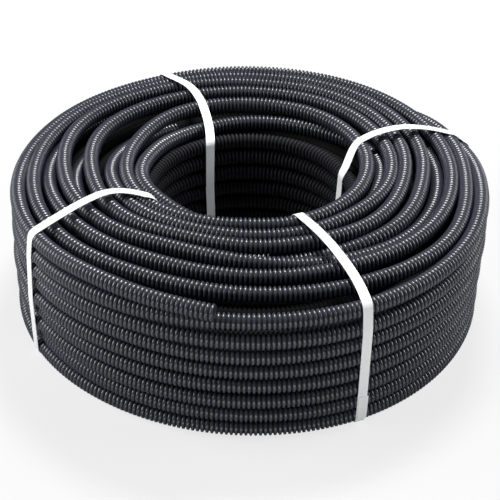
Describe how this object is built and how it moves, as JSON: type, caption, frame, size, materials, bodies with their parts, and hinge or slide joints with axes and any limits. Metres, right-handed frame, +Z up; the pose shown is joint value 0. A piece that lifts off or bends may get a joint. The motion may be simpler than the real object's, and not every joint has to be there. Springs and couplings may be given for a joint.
{
  "type": "coil of corrugated conduit",
  "caption": "Round coil of black corrugated plastic conduit, wound in many layers round an open bore, tied by flat white straps, with one open end coming off the top outer turn.",
  "frame": {"origin": "on the floor, on the axis of the coil's bore", "axes": "+Z up along the coil's axis, front at -Y, where the conduit's free end lies"},
  "size_m": [0.5999, 0.6, 0.189],
  "materials": {
    "conduit": "black ribbed plastic with a soft gloss",
    "strap": "white polypropylene strapping, slightly glossy"
  },
  "bodies": {
    "root": {"conduit_coil": "conduit", "conduit_free_end": "conduit", "strap_back_left": "strap", "strap_front_left": "strap", "strap_front_right": "strap", "strap_back_right": "strap"}
  },
  "joints": []
}
